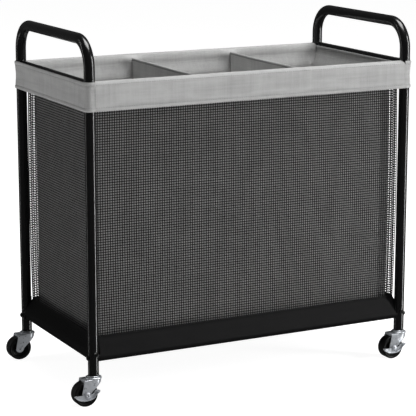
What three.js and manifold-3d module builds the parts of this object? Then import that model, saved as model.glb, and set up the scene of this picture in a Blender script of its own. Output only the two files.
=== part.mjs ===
// Laundry sorter on wheels: a screwed steel tube frame with a handle bow at each end, a sewn
// bag with three open compartments, and four swivel casters, the front two with brakes.
// Millimetres, +Z up, +X to the right along the front, +Y to the back.
// The origin is on the floor, under the middle of the overall box.

import * as THREE from "three";
import { mergeVertices } from "three/addons/utils/BufferGeometryUtils.js";
import Module from "manifold-3d";

const wasm = await Module();
wasm.setup();

// ---- Driving dimensions ----

const GAP = 0.3; // clearance between pieces that touch
const POST_X = 364; // half the distance between post axes along the front
const POST_Y = 182; // half the distance between post axes front to back

const TUBE_R = 11; // posts and handle bows
const TUBE_WALL = 1.2;
const TUBE_SIDES = 18;
const BORE_SIDES = 12;
const LEG_BOTTOM = 63.5;
const LEG_TOP = 628; // the joint between leg and bow, hidden by the cuff
const HANDLE_Z = 733; // axis of the handle bar
const BEND_R = 55; // axis radius of the bow's bends
const BEND_STEPS = 5;
const SWAGE_LENGTH = 40; // reduced end of the bow, pushed into the leg

const RAIL_R = 8;
const RAIL_WALL = 1.2;
const RAIL_SIDES = 12;
const RAIL_PLUG = 22; // threaded plug in each rail end
const LONG_RAIL_Z = 97; // bottom rails along the front and back
const SIDE_RAIL_Z = 105.5; // bottom rails at the two ends
const TOP_RAIL_Z = 644.5;
const CROSSBAR_Z = 647.5; // bars welded between the bow's legs

const SCREW_R = 3;
const SCREW_SIDES = 10;
const HOLE_SIDES = 8;
const SCREW_LENGTH = 36;
const SCREW_HOLE_R = 3.6;
const PAN_HEAD_R = 5;
const PAN_HEAD_HEIGHT = 3.2;
const FLAT_HEAD_R = 4.4;
const FLAT_HEAD_DEPTH = 2;
const FLAT_HEAD_SUNK = 0.5; // below the post's surface, clear of the cuff
const SOCKET_R = 2.2; // hexagonal driver recess
const SOCKET_DEPTH = 1.8;

const SKIN = 1.2; // sewn fabric, seams included
const MESH_INSET = 10.5; // outer mesh, inside the post axes
const LINING_INSET = 22.5; // inner face of the lining, inside the post axes
const WALL_TOP = 648;
const MESH_BOTTOM = 134; // where the mesh meets the solid band
const BAG_BOTTOM = 87.5;
const SLEEVE_OUT = RAIL_R + GAP + SKIN; // band over the bottom rail, outside its axis
const SLEEVE_CORNER = 4.5;
const CUFF_OUT = 13; // outer face of the cuff, outside the post axes
const CUFF_TOP = 654;
const CUFF_BOTTOM = 595.5;
const CUFF_LAP = 6.4; // the end cuffs reach this far in from the post axis
const CUFF_INNER_BOTTOM = 602;
const BASE_THICKNESS = 3;
const DIVIDER_THICKNESS = 3;
const DIVIDER_TOP = 647;
const DIVIDER_X = [-113, 128]; // from the middle of the sorter

const WHEEL_R = 25.5;
const WHEEL_SIDES = 24;
const TREAD_HALF = 11.8;
const TREAD_CROWN = [1.5, 1.8]; // the tread's rounding, in from its edge and across it
const HUB_HALF = 12.5;
const HUB_R = 8;
const WEB_HALF = 5.5; // the disc between the hub and the rim
const RIM_R = 17;
const RIM_SLOPE = 1.5;
const AXLE_R = 3.2;
const AXLE_SIDES = 12;
const BORE_R = 3.6;
const TRAIL = 20.5; // axle behind the swivel axis
const AXLE_Z = WHEEL_R * Math.cos(Math.PI / WHEEL_SIDES); // a tread facet lies on the floor

const FORK_HALF = 15; // outer faces of the fork's arms
const FORK_SHEET = 2;
const FORK_BACK = 25; // trailing edge of the hood, behind the swivel axis
const ARM_HALF = 8.8; // the arm's half width at its round end
const ARM_SET = 2.2; // the middle of that end, behind the axle
const ARM_END = 7.8; // the arm's round end, below the axle
const ARM_BOW = [0, 40]; // pulls the arm's front edge into a shallow curve
const HOOD_TOP = 55.5;
const HOOD_LIP = 52;
const CUP_R = 16.5;
const CUP_TOP = 58.5;
const CUP_SLOPE = 2.5;
const STEM_R = 4;
const STEM_TOP = 89;
const STEM_HEAD_R = 7;
const RACE_R = 12;
const RACE_TOP = 60.5;
const FLANGE_BOTTOM = 61.5;
const SOCKET_TOP = 91;
const TURNED_SIDES = 14;

const LEVER_SHEET = 1.7;
const LEVER_RIM = 5.5; // depth of the lever's turned-out lower edge
const LEVER_TAB = 9;
const HEEL_REACH = 29; // from the axle back to the tip of the heel
const TAB_REACH = 25; // from the axle forward to the end of the foot tab
const LEVER_BOSS_R = 6.5;
const LEVER_LOW = -10.5;
const TAB_ROOT = 17.5; // the tab that is trodden down to brake
const TAB_TOP = 9;
const HEEL_TOP = 1.5; // the turned edge that lets the wheel go
const HEEL_ROOT = 23;
const RIVET_HEAD_R = 5.2; // over the brake lever
const RIVET_HEAD = 2.2;
const FLUSH_HEAD_R = 4.2; // where there is no lever
const FLUSH_HEAD = 1;

// The casters trail to the left and the brake levers stand out to the front, so the middle of
// the overall box is off the middle of the posts.
const BOX_LEFT = POST_X + TRAIL + HEEL_REACH;
const BOX_RIGHT = POST_X + CUP_R;
const BOX_SHIFT_X = (BOX_LEFT - BOX_RIGHT) / 2;
const BOX_FRONT = POST_Y + FORK_HALF + GAP + LEVER_TAB;
const BOX_BACK = POST_Y + FORK_HALF + GAP + FLUSH_HEAD;
const BOX_SHIFT_Y = (BOX_FRONT - BOX_BACK) / 2;

// ---- Materials ----

const finish = (color, roughness, metalness) =>
  new THREE.MeshStandardMaterial({ color, roughness, metalness });
const blackPaint = () => finish(0x101011, 0.35, 0.4);
const zincPlate = () => finish(0xa4a7ab, 0.35, 0.9);
const blackPlastic = () => finish(0x0c0c0d, 0.5, 0);
const meshFabric = () => finish(0x2a2a2b, 0.9, 0);
const greyFabric = () => finish(0xa9a9a8, 0.95, 0);
const blackFabric = () => finish(0x141415, 0.9, 0);

// ---- Helpers ----

const AXIS_X = new THREE.Vector3(1, 0, 0);
const AXIS_Y = new THREE.Vector3(0, 1, 0);
const AXIS_Z = new THREE.Vector3(0, 0, 1);

// A closed geometry as a manifold-3d solid, with its shared vertices merged.
function solid(geometry) {
  const bare = new THREE.BufferGeometry();
  bare.setAttribute("position", geometry.getAttribute("position"));
  bare.setIndex(geometry.index);
  const merged = mergeVertices(bare, 1e-4);
  const mesh = new wasm.Mesh({
    numProp: 3,
    vertProperties: merged.attributes.position.array,
    triVerts: new Uint32Array(merged.index.array),
  });
  return new wasm.Manifold(mesh);
}

function geometryOf(made) {
  const mesh = made.getMesh();
  const geometry = new THREE.BufferGeometry();
  geometry.setAttribute("position", new THREE.BufferAttribute(mesh.vertProperties, 3));
  geometry.setIndex(new THREE.BufferAttribute(mesh.triVerts, 1));
  geometry.computeVertexNormals();
  return geometry;
}

// A profile of [radius, height] pairs turned about Z.
function turned(profile, sides) {
  const points = profile.map(([r, z]) => new THREE.Vector2(r, z));
  return new THREE.LatheGeometry(points, sides).rotateX(Math.PI / 2);
}

const rod = (r, low, high, sides) =>
  turned([[0, low], [r, low], [r, high], [0, high]], sides);

// Turned about Z and laid along X or Y.
const alongX = (geometry) => geometry.rotateY(Math.PI / 2);
const alongY = (geometry) => geometry.rotateX(-Math.PI / 2);

function box(x0, x1, y0, y1, z0, z1) {
  const geometry = new THREE.BoxGeometry(x1 - x0, y1 - y0, z1 - z0);
  return geometry.translate((x0 + x1) / 2, (y0 + y1) / 2, (z0 + z1) / 2);
}

const extruded = (outline, depth, curveSegments = 5) =>
  new THREE.ExtrudeGeometry(outline, { depth, curveSegments, bevelEnabled: false });

// An outline drawn in (Y, Z) and extruded along X, or drawn in (X, Z) and extruded along -Y.
const yzOutlineAlongX = new THREE.Matrix4().makeBasis(AXIS_Y, AXIS_Z, AXIS_X);
const xzOutlineAlongY = new THREE.Matrix4().makeBasis(
  AXIS_X,
  AXIS_Z,
  AXIS_Y.clone().negate(),
);

function outlineOf(points) {
  return new THREE.Shape(points.map(([a, b]) => new THREE.Vector2(a, b)));
}

const sorter = new THREE.Group();

function addPiece(name, geometry, material, parent = sorter) {
  const mesh = new THREE.Mesh(geometry, material);
  mesh.name = name;
  parent.add(mesh);
  return mesh;
}

const CORNERS = [
  { name: "front_left", sideX: -1, sideY: -1, braked: true },
  { name: "front_right", sideX: 1, sideY: -1, braked: true },
  { name: "back_left", sideX: -1, sideY: 1, braked: false },
  { name: "back_right", sideX: 1, sideY: 1, braked: false },
];

// ---- Frame ----

// The bow's axis: up one post, over the handle and down the other, in the YZ plane.
class BowAxis extends THREE.Curve {
  constructor(footZ) {
    super();
    this.stations = [new THREE.Vector3(0, -POST_Y, footZ)];
    this.tangents = [AXIS_Z];
    for (const side of [-1, 1]) {
      for (let step = 0; step <= BEND_STEPS; step += 1) {
        const turn = ((step / BEND_STEPS) * Math.PI) / 2;
        const angle = side < 0 ? Math.PI - turn : Math.PI / 2 - turn;
        const centre = new THREE.Vector3(0, side * (POST_Y - BEND_R), HANDLE_Z - BEND_R);
        const radial = new THREE.Vector3(0, Math.cos(angle), Math.sin(angle));
        this.stations.push(centre.addScaledVector(radial, BEND_R));
        this.tangents.push(new THREE.Vector3(0, Math.sin(angle), -Math.cos(angle)));
      }
    }
    this.stations.push(new THREE.Vector3(0, POST_Y, footZ));
    this.tangents.push(AXIS_Z.clone().negate());
    this.steps = this.stations.length - 1;
  }
  getPointAt(u) {
    return this.stations[Math.round(u * this.steps)].clone();
  }
  getTangentAt(u) {
    return this.tangents[Math.round(u * this.steps)].clone();
  }
}

function bowSolid(radius, footZ, sides) {
  const section = new THREE.Shape().absarc(0, 0, radius, 0, 2 * Math.PI);
  const axis = new BowAxis(footZ);
  return solid(
    new THREE.ExtrudeGeometry(section, {
      steps: axis.steps,
      curveSegments: sides / 2, // a full circle gets two points for each
      extrudePath: axis,
    }),
  );
}

// The swaged end of a bow leg, with a shoulder that joins it to the tube wall.
function swage() {
  const outer = TUBE_R - TUBE_WALL - GAP;
  const inner = outer - TUBE_WALL;
  const shoulder = LEG_TOP + GAP;
  const profile = [
    [inner, LEG_TOP - SWAGE_LENGTH],
    [outer, LEG_TOP - SWAGE_LENGTH],
    [outer, shoulder],
    [TUBE_R - TUBE_WALL / 2, shoulder],
    [TUBE_R - TUBE_WALL / 2, shoulder + 3],
    [inner, shoulder + 3],
    [inner, LEG_TOP - SWAGE_LENGTH],
  ];
  return turned(profile, TUBE_SIDES);
}

function handleBow(sideX) {
  const foot = LEG_TOP + GAP;
  const bore = TUBE_R - TUBE_WALL;
  let bow = bowSolid(TUBE_R, foot, TUBE_SIDES).subtract(bowSolid(bore, foot - 1, BORE_SIDES));
  for (const sideY of [-1, 1]) {
    bow = bow.add(solid(swage().translate(0, sideY * POST_Y, 0)));
    const through = alongX(rod(SCREW_HOLE_R, -2 * TUBE_R, 2 * TUBE_R, HOLE_SIDES));
    bow = bow.subtract(solid(through.translate(0, sideY * POST_Y, TOP_RAIL_Z)));
    const dimple = alongX(rod(FLAT_HEAD_R + 2 * GAP, 0, TUBE_R + 1, HOLE_SIDES));
    if (sideX < 0) dimple.rotateZ(Math.PI);
    bow = bow.subtract(solid(dimple.translate(0, sideY * POST_Y, TOP_RAIL_Z)));
  }
  return geometryOf(bow);
}

// A lower leg, with cross holes for the screws of the two bottom rails that meet it.
function leg() {
  const bore = TUBE_R - TUBE_WALL;
  const profile = [
    [bore, LEG_BOTTOM],
    [TUBE_R, LEG_BOTTOM],
    [TUBE_R, LEG_TOP],
    [bore, LEG_TOP],
    [bore, LEG_BOTTOM],
  ];
  const hole = () => rod(SCREW_HOLE_R, -2 * TUBE_R, 2 * TUBE_R, HOLE_SIDES);
  const made = solid(turned(profile, TUBE_SIDES))
    .subtract(solid(alongX(hole()).translate(0, 0, LONG_RAIL_Z)))
    .subtract(solid(alongY(hole()).translate(0, 0, SIDE_RAIL_Z)));
  return geometryOf(made);
}

// A straight tube about Z from -half to +half, coped to the posts that it meets and bored
// down to plugBore in its ends.
function copedTube(half, plugBore) {
  const bore = RAIL_R - RAIL_WALL;
  const profile = [
    [plugBore, -half],
    [RAIL_R, -half],
    [RAIL_R, half],
    [plugBore, half],
  ];
  if (plugBore < bore) {
    profile.push([plugBore, half - RAIL_PLUG], [bore, half - RAIL_PLUG]);
    profile.push([bore, RAIL_PLUG - half], [plugBore, RAIL_PLUG - half]);
  }
  profile.push(profile[0]);
  let made = solid(turned(profile, RAIL_SIDES));
  for (const side of [-1, 1]) {
    const post = rod(TUBE_R + GAP, -2 * RAIL_R, 2 * RAIL_R, TUBE_SIDES);
    made = made.subtract(solid(alongX(post).translate(0, 0, side * half)));
  }
  return geometryOf(made);
}

for (const [end, sideX] of [["left", -1], ["right", 1]]) {
  const bow = addPiece(`${end}_handle_bow`, handleBow(sideX), blackPaint());
  bow.position.x = sideX * POST_X;
  const crossbar = copedTube(POST_Y, RAIL_R - RAIL_WALL).rotateZ(Math.PI / 2);
  const bar = addPiece(`${end}_top_crossbar`, alongY(crossbar), blackPaint());
  bar.position.set(sideX * POST_X, 0, CROSSBAR_Z);
  const bottom = copedTube(POST_Y, SCREW_HOLE_R).rotateZ(Math.PI / 2);
  const rail = addPiece(`${end}_bottom_rail`, alongY(bottom), blackPaint());
  rail.position.set(sideX * POST_X, 0, SIDE_RAIL_Z);
}

for (const [face, sideY] of [["front", -1], ["back", 1]]) {
  for (const [level, railZ] of [["top", TOP_RAIL_Z], ["bottom", LONG_RAIL_Z]]) {
    const tube = alongX(copedTube(POST_X, SCREW_HOLE_R));
    const rail = addPiece(`${face}_${level}_rail`, tube, blackPaint());
    rail.position.set(0, sideY * POST_Y, railZ);
  }
}

for (const { name, sideX, sideY } of CORNERS) {
  const post = addPiece(`${name}_leg`, leg(), blackPaint());
  post.position.set(sideX * POST_X, sideY * POST_Y, 0);
}

// ---- Screws: head on -Z, shank along +Z, z = 0 under a pan head or on top of a flat one ----

function screw(headProfile) {
  const tip = [
    [SCREW_R, SCREW_LENGTH - 1],
    [SCREW_R - 1, SCREW_LENGTH],
    [0, SCREW_LENGTH],
  ];
  const headTop = headProfile[0][1];
  const recess = rod(SOCKET_R, headTop - 1, headTop + SOCKET_DEPTH, 6);
  const body = solid(turned([...headProfile, ...tip], SCREW_SIDES));
  return geometryOf(body.subtract(solid(recess)));
}

const panScrew = () =>
  screw([
    [0, -PAN_HEAD_HEIGHT],
    [PAN_HEAD_R * 0.7, -PAN_HEAD_HEIGHT * 0.9],
    [PAN_HEAD_R, -PAN_HEAD_HEIGHT * 0.3],
    [PAN_HEAD_R, 0],
    [SCREW_R, 0],
  ]);

const flatScrew = () =>
  screw([
    [0, 0],
    [FLAT_HEAD_R, 0],
    [FLAT_HEAD_R, 0.5],
    [SCREW_R, FLAT_HEAD_DEPTH],
  ]);

for (const { name, sideX, sideY } of CORNERS) {
  const inwardX = -sideX * (Math.PI / 2);
  const inwardY = sideY * (Math.PI / 2);
  const postX = sideX * POST_X;
  const postY = sideY * POST_Y;
  const long = addPiece(`${name}_long_rail_screw`, panScrew(), blackPaint());
  long.rotation.y = inwardX;
  long.position.set(postX + sideX * (TUBE_R + GAP), postY, LONG_RAIL_Z);
  const side = addPiece(`${name}_side_rail_screw`, panScrew(), blackPaint());
  side.rotation.x = inwardY;
  side.position.set(postX, postY + sideY * (TUBE_R + GAP), SIDE_RAIL_Z);
  const top = addPiece(`${name}_top_rail_screw`, flatScrew(), blackPaint());
  top.rotation.y = inwardX;
  top.position.set(postX + sideX * (TUBE_R - FLAT_HEAD_SUNK), postY, TOP_RAIL_Z);
}

// ---- Casters, each drawn about its own swivel axis with the wheel trailing to -X ----

function casterSocket() {
  const body = TUBE_R - TUBE_WALL - GAP;
  const bore = STEM_R + GAP;
  const profile = [
    [bore, FLANGE_BOTTOM],
    [TUBE_R, FLANGE_BOTTOM],
    [TUBE_R, LEG_BOTTOM - GAP],
    [body, LEG_BOTTOM - GAP],
    [body, SOCKET_TOP],
    [bore, SOCKET_TOP],
    [bore, FLANGE_BOTTOM],
  ];
  return turned(profile, TURNED_SIDES);
}

// The stem, riveted under the fork and carrying the upper ball race.
function casterStem() {
  const headTop = HOOD_TOP - FORK_SHEET - GAP;
  const profile = [
    [0, headTop - 3],
    [STEM_HEAD_R - 1, headTop - 3],
    [STEM_HEAD_R, headTop - 2],
    [STEM_HEAD_R, headTop],
    [STEM_R, headTop],
    [STEM_R, CUP_TOP + GAP],
    [RACE_R, CUP_TOP + GAP],
    [RACE_R, RACE_TOP],
    [STEM_R, RACE_TOP],
    [STEM_R, STEM_TOP - 2],
    [STEM_R - 1, STEM_TOP],
    [0, STEM_TOP],
  ];
  return turned(profile, SCREW_SIDES);
}

// The fork's plan: straight arms behind the stem, and round about the stem in front.
function forkPlan(half, back) {
  const plan = new THREE.Shape();
  plan.moveTo(-back, -half);
  plan.lineTo(0, -half);
  plan.absarc(0, 0, half, -Math.PI / 2, Math.PI / 2);
  plan.lineTo(-back, half);
  return plan;
}

// The fork seen from the side: a straight trailing edge that slopes out to the axle, round
// under the axle, and a front edge that rises in a shallow curve to the front of the hood.
function forkSide() {
  const side = new THREE.Shape();
  side.moveTo(-FORK_BACK, HOOD_TOP);
  const armX = -TRAIL - ARM_SET;
  side.lineTo(armX - ARM_HALF, AXLE_Z);
  side.absellipse(armX, AXLE_Z, ARM_HALF, ARM_END, Math.PI, 2 * Math.PI);
  side.quadraticCurveTo(...ARM_BOW, FORK_HALF, HOOD_LIP);
  side.lineTo(FORK_HALF, HOOD_TOP);
  return side;
}

function casterFork() {
  const inner = FORK_HALF - FORK_SHEET;
  const under = HOOD_TOP - FORK_SHEET;
  const reach = TRAIL + ARM_SET + ARM_HALF + FORK_SHEET;
  const well = solid(extruded(forkPlan(inner, 2 * reach), HOOD_LIP));
  const roof = solid(extruded(forkPlan(inner, FORK_BACK - FORK_SHEET), under));
  const side = extruded(forkSide(), 4 * FORK_HALF).applyMatrix4(xzOutlineAlongY);
  const cup = turned(
    [
      [0, under + 1],
      [CUP_R, under + 1],
      [CUP_R, HOOD_TOP + 1],
      [CUP_R - CUP_SLOPE, CUP_TOP],
      [0, CUP_TOP],
    ],
    TUBE_SIDES,
  );
  const stemHole = rod(STEM_R + GAP, 0, 2 * CUP_TOP, SCREW_SIDES);
  const axleHole = alongY(rod(BORE_R, -2 * FORK_HALF, 2 * FORK_HALF, AXLE_SIDES));
  const made = solid(extruded(forkPlan(FORK_HALF, reach), HOOD_TOP))
    .subtract(well)
    .subtract(roof)
    .intersect(solid(side.translate(0, 2 * FORK_HALF, 0)))
    .add(solid(cup))
    .subtract(solid(stemHole))
    .subtract(solid(axleHole.translate(-TRAIL, 0, AXLE_Z)));
  return geometryOf(made);
}

// One half of the wheel's profile, from the bore out to the middle of the tread.
function casterWheel() {
  const [crownIn, crownAcross] = TREAD_CROWN;
  const half = [
    [BORE_R, HUB_HALF],
    [HUB_R, HUB_HALF],
    [HUB_R, WEB_HALF],
    [RIM_R, WEB_HALF],
    [RIM_R + RIM_SLOPE, TREAD_HALF],
    [WHEEL_R - crownIn, TREAD_HALF],
    [WHEEL_R, TREAD_HALF - crownAcross],
  ];
  const mirrored = half.map(([r, y]) => [r, -y]);
  const profile = [...mirrored, ...half.reverse(), mirrored[0]];
  return alongY(turned(profile, WHEEL_SIDES).rotateZ(Math.PI / WHEEL_SIDES));
}

// The axle, with a flush head outside the fork, and a high one outside the brake lever.
function axleRivet(braked) {
  const back = FORK_HALF + GAP;
  const front = braked ? FORK_HALF + 2 * GAP + LEVER_SHEET : FORK_HALF + GAP;
  const headR = braked ? RIVET_HEAD_R : FLUSH_HEAD_R;
  const head = braked ? RIVET_HEAD : FLUSH_HEAD;
  const profile = [
    [0, -front - head],
    [headR - head / 2, -front - head],
    [headR, -front - head / 2],
    [headR, -front],
    [AXLE_R, -front],
    [AXLE_R, back],
    [FLUSH_HEAD_R, back],
    [FLUSH_HEAD_R - FLUSH_HEAD / 2, back + FLUSH_HEAD],
    [0, back + FLUSH_HEAD],
  ];
  return alongY(turned(profile, AXLE_SIDES));
}

// The brake lever's outline about the axle: a rocker with a foot tab and a heel.
function leverOutline() {
  const outline = new THREE.Shape();
  const keel = -4;
  const waist = 14;
  const bossEdge = 0.15; // radians from level to where the boss meets the rocker
  outline.moveTo(-HEEL_REACH, HEEL_TOP);
  outline.quadraticCurveTo(keel - waist - 4, LEVER_LOW, keel, LEVER_LOW);
  outline.quadraticCurveTo(waist, LEVER_LOW, TAB_ROOT, -1);
  outline.lineTo(TAB_REACH, TAB_TOP / 2);
  outline.lineTo(TAB_REACH, TAB_TOP);
  outline.lineTo(TAB_ROOT, TAB_TOP);
  outline.quadraticCurveTo(waist, 1, LEVER_BOSS_R, 1);
  outline.absarc(0, 0, LEVER_BOSS_R, bossEdge, Math.PI - bossEdge);
  outline.quadraticCurveTo(-waist, 0, -HEEL_REACH, HEEL_TOP);
  return outline;
}

function brakeLever() {
  const plate = (depth) => extruded(leverOutline(), depth, 4).applyMatrix4(xzOutlineAlongY);
  const pocket = plate(LEVER_RIM).translate(0, -LEVER_SHEET, LEVER_SHEET);
  const hole = alongY(rod(BORE_R, -2 * LEVER_RIM, LEVER_RIM, AXLE_SIDES));
  const tabLow = TAB_TOP - LEVER_SHEET;
  const tab = box(TAB_ROOT, TAB_REACH, -LEVER_TAB, 0, tabLow, TAB_TOP);
  const heelHigh = HEEL_TOP - GAP;
  const heelLow = heelHigh - LEVER_SHEET;
  const heel = box(GAP - HEEL_REACH, -HEEL_ROOT, -LEVER_TAB, 0, heelLow, heelHigh);
  const made = solid(plate(LEVER_RIM))
    .subtract(solid(pocket))
    .add(solid(tab))
    .add(solid(heel))
    .subtract(solid(hole));
  return geometryOf(made);
}

for (const { name, sideX, sideY, braked } of CORNERS) {
  const caster = new THREE.Group();
  caster.position.set(sideX * POST_X, sideY * POST_Y, 0);
  sorter.add(caster);
  addPiece(`${name}_caster_socket`, casterSocket(), blackPlastic(), caster);
  addPiece(`${name}_caster_stem`, casterStem(), zincPlate(), caster);
  addPiece(`${name}_caster_fork`, casterFork(), zincPlate(), caster);
  const wheel = addPiece(`${name}_wheel`, casterWheel(), blackPlastic(), caster);
  wheel.position.set(-TRAIL, 0, AXLE_Z);
  const rivet = addPiece(`${name}_axle_rivet`, axleRivet(braked), zincPlate(), caster);
  rivet.position.set(-TRAIL, 0, AXLE_Z);
  if (braked) {
    const lever = addPiece(`${name}_brake_lever`, brakeLever(), zincPlate(), caster);
    lever.position.set(-TRAIL, -FORK_HALF - GAP, AXLE_Z);
  }
}

// ---- Bag ----

// A wall's section, drawn as [distance outside the post axes, height]: mesh outside, lining
// inside, and a band that runs out over the bottom rail and back under it. grow is how far
// the outline stands inside the wall's skins.
function wallSection(railZ, grow) {
  const out = SLEEVE_OUT - grow;
  const low = BAG_BOTTOM + grow;
  return [
    [-MESH_INSET - grow, WALL_TOP - grow],
    [-LINING_INSET + grow, WALL_TOP - grow],
    [-LINING_INSET + grow, low],
    [out - SLEEVE_CORNER, low],
    [out, low + SLEEVE_CORNER],
    [out, railZ + 4 - grow],
    [-MESH_INSET - grow, MESH_BOTTOM + grow / 2],
  ];
}

// A bag wall as it stands at the back, about its own post line: outward is +Y.
function bagWall(railZ, half) {
  const outline = outlineOf(wallSection(railZ, 0));
  outline.holes.push(outlineOf(wallSection(railZ, SKIN)));
  const wall = extruded(outline, 2 * half).applyMatrix4(yzOutlineAlongX);
  return wall.translate(-half, 0, 0);
}

// The cuff over a top rail: a fold over the rail with its outer flap hanging outside.
function railCuff() {
  const half = POST_X - CUFF_LAP - GAP;
  const inner = 2 * GAP - MESH_INSET;
  const middle = (CUFF_OUT + inner) / 2;
  const reach = (CUFF_OUT - inner) / 2;
  const rise = RAIL_R + GAP + SKIN;
  const centreZ = CUFF_TOP - rise;
  const section = new THREE.Shape();
  section.moveTo(CUFF_OUT, CUFF_BOTTOM);
  section.absellipse(middle, centreZ, reach, rise, 0, Math.PI);
  section.lineTo(inner, CUFF_INNER_BOTTOM);
  section.lineTo(inner + SKIN, CUFF_INNER_BOTTOM);
  section.absellipse(middle, centreZ, reach - SKIN, rise - SKIN, Math.PI, 0, true);
  section.lineTo(CUFF_OUT - SKIN, CUFF_BOTTOM);
  const strip = extruded(section, 2 * half, 10).applyMatrix4(yzOutlineAlongX);
  let made = solid(strip.translate(-half, 0, 0));
  for (const sideX of [-1, 1]) {
    const post = rod(CUFF_OUT, CUFF_BOTTOM - 1, CUFF_TOP + 1, TUBE_SIDES);
    made = made.subtract(solid(post.translate(sideX * POST_X, 0, 0)));
  }
  return geometryOf(made);
}

// The cuff at an end: a band outside the crossbar that wraps both posts.
function endCuff() {
  const plan = new THREE.Shape();
  const inner = CUFF_OUT - SKIN;
  plan.moveTo(POST_Y + CUFF_OUT, -CUFF_LAP);
  plan.absarc(POST_Y, 0, CUFF_OUT, 0, Math.PI / 2);
  plan.absarc(-POST_Y, 0, CUFF_OUT, Math.PI / 2, Math.PI);
  plan.lineTo(-POST_Y - CUFF_OUT, -CUFF_LAP);
  plan.lineTo(-POST_Y - inner, -CUFF_LAP);
  plan.absarc(-POST_Y, 0, inner, Math.PI, Math.PI / 2, true);
  plan.absarc(POST_Y, 0, inner, Math.PI / 2, 0, true);
  plan.lineTo(POST_Y + inner, -CUFF_LAP);
  return extruded(plan, CUFF_TOP - CUFF_BOTTOM).translate(0, 0, CUFF_BOTTOM);
}

const CLEAR_X = POST_X - LINING_INSET - GAP; // inside faces of the walls, with clearance
const CLEAR_Y = POST_Y - LINING_INSET - GAP;
const SLEEVE_END_X = POST_X - TUBE_R - GAP; // the sleeves stop short of the posts
const SLEEVE_END_Y = POST_Y - TUBE_R - GAP;

for (const [face, sideY] of [["front", -1], ["back", 1]]) {
  const turn = sideY < 0 ? Math.PI : 0;
  const wall = bagWall(LONG_RAIL_Z, SLEEVE_END_X).rotateZ(turn);
  addPiece(`${face}_bag_wall`, wall.translate(0, sideY * POST_Y, 0), meshFabric());
  const cuff = railCuff().rotateZ(turn);
  addPiece(`${face}_cuff`, cuff.translate(0, sideY * POST_Y, 0), greyFabric());
}

// The end walls' mesh and lining stop at the front and back walls; their sleeves run on.
for (const [end, sideX] of [["left", -1], ["right", 1]]) {
  const turn = -sideX * (Math.PI / 2);
  let made = solid(bagWall(SIDE_RAIL_Z, SLEEVE_END_Y));
  const inside = SLEEVE_END_X + GAP - POST_X;
  for (const side of [-1, 1]) {
    const [near, far] = [side * CLEAR_Y, side * POST_Y].sort((a, b) => a - b);
    made = made.subtract(solid(box(near, far, -POST_X, inside, 0, 2 * WALL_TOP)));
  }
  const wall = geometryOf(made).rotateZ(turn);
  addPiece(`${end}_bag_wall`, wall.translate(sideX * POST_X, 0, 0), meshFabric());
  const cuff = endCuff().rotateZ(turn);
  addPiece(`${end}_cuff`, cuff.translate(sideX * POST_X, 0, 0), greyFabric());
}

const baseTop = BAG_BOTTOM + SKIN + BASE_THICKNESS;
const base = box(-CLEAR_X, CLEAR_X, -CLEAR_Y, CLEAR_Y, BAG_BOTTOM + SKIN, baseTop);
addPiece("bag_base", base, blackFabric());

for (const [index, x] of DIVIDER_X.entries()) {
  const half = DIVIDER_THICKNESS / 2;
  const sheet = box(x - half, x + half, -CLEAR_Y, CLEAR_Y, baseTop + GAP, DIVIDER_TOP);
  addPiece(`${["left", "right"][index]}_divider`, sheet, greyFabric());
}

sorter.position.set(BOX_SHIFT_X, BOX_SHIFT_Y, 0);
const part = new THREE.Group();
part.add(sorter);

export default part;
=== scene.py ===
# Looks for the laundry sorter on wheels: a black tube frame with a handle bow at each end, a
# sewn bag of open mesh with a grey lining, a grey cuff around the top and four zinc casters.
# Metres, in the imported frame: +X to the right along the front, +Y to the back, +Z up.

import math

import bmesh
import bpy
from mathutils import Matrix, Vector, noise


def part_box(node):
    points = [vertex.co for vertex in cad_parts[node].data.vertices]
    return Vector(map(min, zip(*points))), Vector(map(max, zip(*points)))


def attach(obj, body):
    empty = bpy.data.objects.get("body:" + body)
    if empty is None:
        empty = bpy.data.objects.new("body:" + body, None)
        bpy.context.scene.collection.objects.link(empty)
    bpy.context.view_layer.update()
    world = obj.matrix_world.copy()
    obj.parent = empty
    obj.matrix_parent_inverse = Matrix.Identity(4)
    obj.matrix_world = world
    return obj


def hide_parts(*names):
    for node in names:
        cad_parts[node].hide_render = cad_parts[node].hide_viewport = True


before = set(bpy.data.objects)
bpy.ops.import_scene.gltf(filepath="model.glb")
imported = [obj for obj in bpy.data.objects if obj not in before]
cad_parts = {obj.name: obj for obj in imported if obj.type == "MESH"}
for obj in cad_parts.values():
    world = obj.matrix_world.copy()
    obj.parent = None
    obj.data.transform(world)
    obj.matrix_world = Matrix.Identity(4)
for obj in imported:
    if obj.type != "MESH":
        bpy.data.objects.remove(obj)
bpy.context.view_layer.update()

MM = 0.001
UP = Vector((0, 0, 1))
SIDES = {"left": -1, "right": 1}
DEPTHS = {"front": -1, "back": 1}
CORNERS = [f"{depth}_{side}" for depth in DEPTHS for side in SIDES]

# ---- Sizes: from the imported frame, or set here where it doesn't hold them ----


def centre_of(node):
    low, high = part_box(node)
    return (low + high) / 2


def size_of(node):
    low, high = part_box(node)
    return high - low


POSTS = {corner: centre_of(f"{corner}_leg") for corner in CORNERS}
MIDDLE = (POSTS["front_left"] + POSTS["back_right"]) / 2
MIDDLE.z = 0
POST_X = (POSTS["front_right"].x - POSTS["front_left"].x) / 2
POST_Y = (POSTS["back_left"].y - POSTS["front_left"].y) / 2
TUBE_R = size_of("front_left_leg").y / 2
RAIL_R = size_of("front_top_rail").z / 2
LEG_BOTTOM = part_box("front_left_leg")[0].z
LEG_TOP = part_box("front_left_leg")[1].z
HANDLE_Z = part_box("left_handle_bow")[1].z - TUBE_R
BEND_R = 55 * MM
TOP_RAIL_Z = centre_of("front_top_rail").z
CROSSBAR_Z = centre_of("left_top_crossbar").z
LONG_RAIL_Z = centre_of("front_bottom_rail").z
SIDE_RAIL_Z = centre_of("left_bottom_rail").z

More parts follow.
